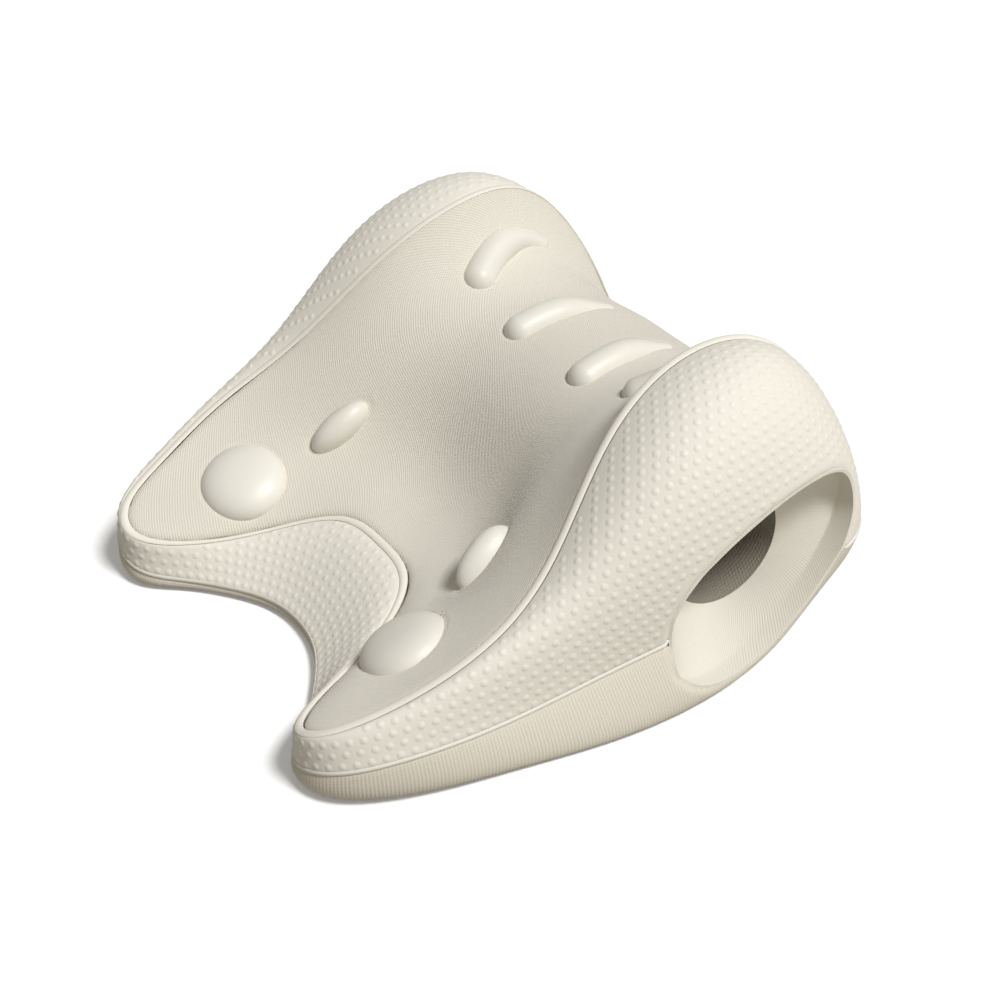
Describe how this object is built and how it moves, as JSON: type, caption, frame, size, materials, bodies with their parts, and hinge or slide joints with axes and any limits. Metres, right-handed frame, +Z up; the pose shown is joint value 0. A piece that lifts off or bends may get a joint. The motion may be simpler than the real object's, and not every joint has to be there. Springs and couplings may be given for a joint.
{
  "type": "cervical traction device",
  "caption": "Moulded foam neck stretcher with a forked, notched front, a saddle-shaped hump with a tunnel through it, fabric skins and raised massage nodes.",
  "frame": {"origin": "middle of the bounding box at the ground, under the middle of the object", "axes": "+X to the right along the tunnel, +Y from the horns to the hump, +Z up"},
  "size_m": [0.2676, 0.2479, 0.11],
  "materials": {
    "foam": "moulded polyurethane foam, fine open skin",
    "panel_knit": "fine warm-white knit, soft sheen",
    "dotted_knit": "warm-white knit with staggered raised dots",
    "ribbed_knit": "beige-white fine ribbed knit",
    "lip": "smooth rolled edge, matt",
    "welt": "thin corded seam",
    "funnel_lining": "fine twill lining",
    "bore_lining": "fine ribbed lining",
    "massage_node": "smooth satin silicone"
  },
  "bodies": {
    "root": {"foam_core": "foam", "centre_panel": "panel_knit", "side_band": "dotted_knit", "base_panel": "ribbed_knit", "rim_piping": "lip", "seam_welt": "welt", "bore_sleeve": "bore_lining", "right_funnel": "funnel_lining", "left_funnel": "funnel_lining", "round_node_right": "massage_node", "round_node_left": "massage_node", "oval_node_right": "massage_node", "oval_node_left": "massage_node", "outer_ridge_right": "massage_node", "outer_ridge_left": "massage_node", "inner_ridge_right": "massage_node", "inner_ridge_left": "massage_node"}
  },
  "joints": []
}
